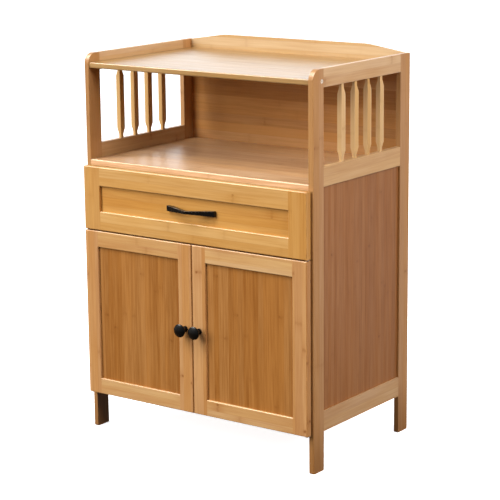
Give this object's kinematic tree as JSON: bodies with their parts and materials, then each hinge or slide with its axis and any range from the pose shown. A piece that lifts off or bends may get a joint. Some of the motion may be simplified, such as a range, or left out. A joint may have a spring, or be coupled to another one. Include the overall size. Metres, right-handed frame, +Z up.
{
  "type": "buffet cabinet",
  "caption": "Slim bamboo buffet cabinet with slatted side frames, a railed top shelf, an open niche, a framed drawer with a black bow pull and a cupboard behind panelled doors.",
  "frame": {"origin": "on the floor, at the middle of the whole cabinet seen from above, knobs included", "axes": "+Z up, +X to the cabinet's right as seen from in front, front facing -Y"},
  "size_m": [0.603, 0.4226, 0.864],
  "materials": {
    "bamboo_frame": "clear satin lacquer",
    "bamboo_board": "clear satin lacquer",
    "bamboo_panel": "clear satin lacquer, darker strips",
    "bamboo_ply": "bare thin plywood",
    "black_metal": "satin black",
    "steel": "zinc plated",
    "brass": "plain",
    "catch_plastic": "matt black"
  },
  "bodies": {
    "cabinet": {"left_front_post": "bamboo_frame", "left_rear_post": "bamboo_frame", "left_top_rail": "bamboo_frame", "left_mid_rail": "bamboo_frame", "left_bottom_rail": "bamboo_frame", "left_side_panel": "bamboo_panel", "left_spindles": "bamboo_frame", "right_front_post": "bamboo_frame", "right_rear_post": "bamboo_frame", "right_top_rail": "bamboo_frame", "right_mid_rail": "bamboo_frame", "right_bottom_rail": "bamboo_frame", "right_side_panel": "bamboo_panel", "right_spindles": "bamboo_frame", "top_shelf": "bamboo_board", "gallery_board": "bamboo_board", "niche_back_panel": "bamboo_panel", "middle_shelf": "bamboo_board", "cross_rail": "bamboo_frame", "cupboard_floor": "bamboo_board", "cupboard_back_panel": "bamboo_panel", "loose_shelf": "bamboo_board", "shelf_pins": "steel", "shelf_bolts": "steel", "dowels": "bamboo_frame", "cabinet_runners": "steel", "hinge_plates": "steel", "hinge_screws": "steel", "door_catches": "catch_plastic"},
    "drawer": {"drawer_left_stile": "bamboo_frame", "drawer_right_stile": "bamboo_frame", "drawer_top_rail": "bamboo_frame", "drawer_bottom_rail": "bamboo_frame", "drawer_front_panel": "bamboo_panel", "drawer_box_front": "bamboo_frame", "drawer_left_side": "bamboo_frame", "drawer_right_side": "bamboo_frame", "drawer_back": "bamboo_frame", "drawer_bottom": "bamboo_ply", "drawer_runners": "steel", "drawer_pull": "black_metal", "pull_screws": "steel"},
    "left_door": {"left_door_hinge_stile": "bamboo_frame", "left_door_meeting_stile": "bamboo_frame", "left_door_top_rail": "bamboo_frame", "left_door_bottom_rail": "bamboo_frame", "left_door_panel": "bamboo_panel", "left_door_knob": "black_metal", "left_door_knob_screw": "steel", "left_door_bushes": "brass", "left_door_strike": "steel"},
    "right_door": {"right_door_hinge_stile": "bamboo_frame", "right_door_meeting_stile": "bamboo_frame", "right_door_top_rail": "bamboo_frame", "right_door_bottom_rail": "bamboo_frame", "right_door_panel": "bamboo_panel", "right_door_knob": "black_metal", "right_door_knob_screw": "steel", "right_door_bushes": "brass", "right_door_strike": "steel"}
  },
  "joints": [
    {"name": "drawer_slide", "type": "slide", "parent": "cabinet", "child": "drawer", "axis": [0, -1, 0], "range_m": [0, 0.26]},
    {"name": "left_door_hinge", "type": "hinge", "parent": "cabinet", "child": "left_door", "pos_m": [-0.2918, -0.17625, 0.273], "axis": [0, 0, -1], "range_deg": [0, 105]},
    {"name": "right_door_hinge", "type": "hinge", "parent": "cabinet", "child": "right_door", "pos_m": [0.2918, -0.17625, 0.273], "axis": [0, 0, 1], "range_deg": [0, 105]}
  ]
}
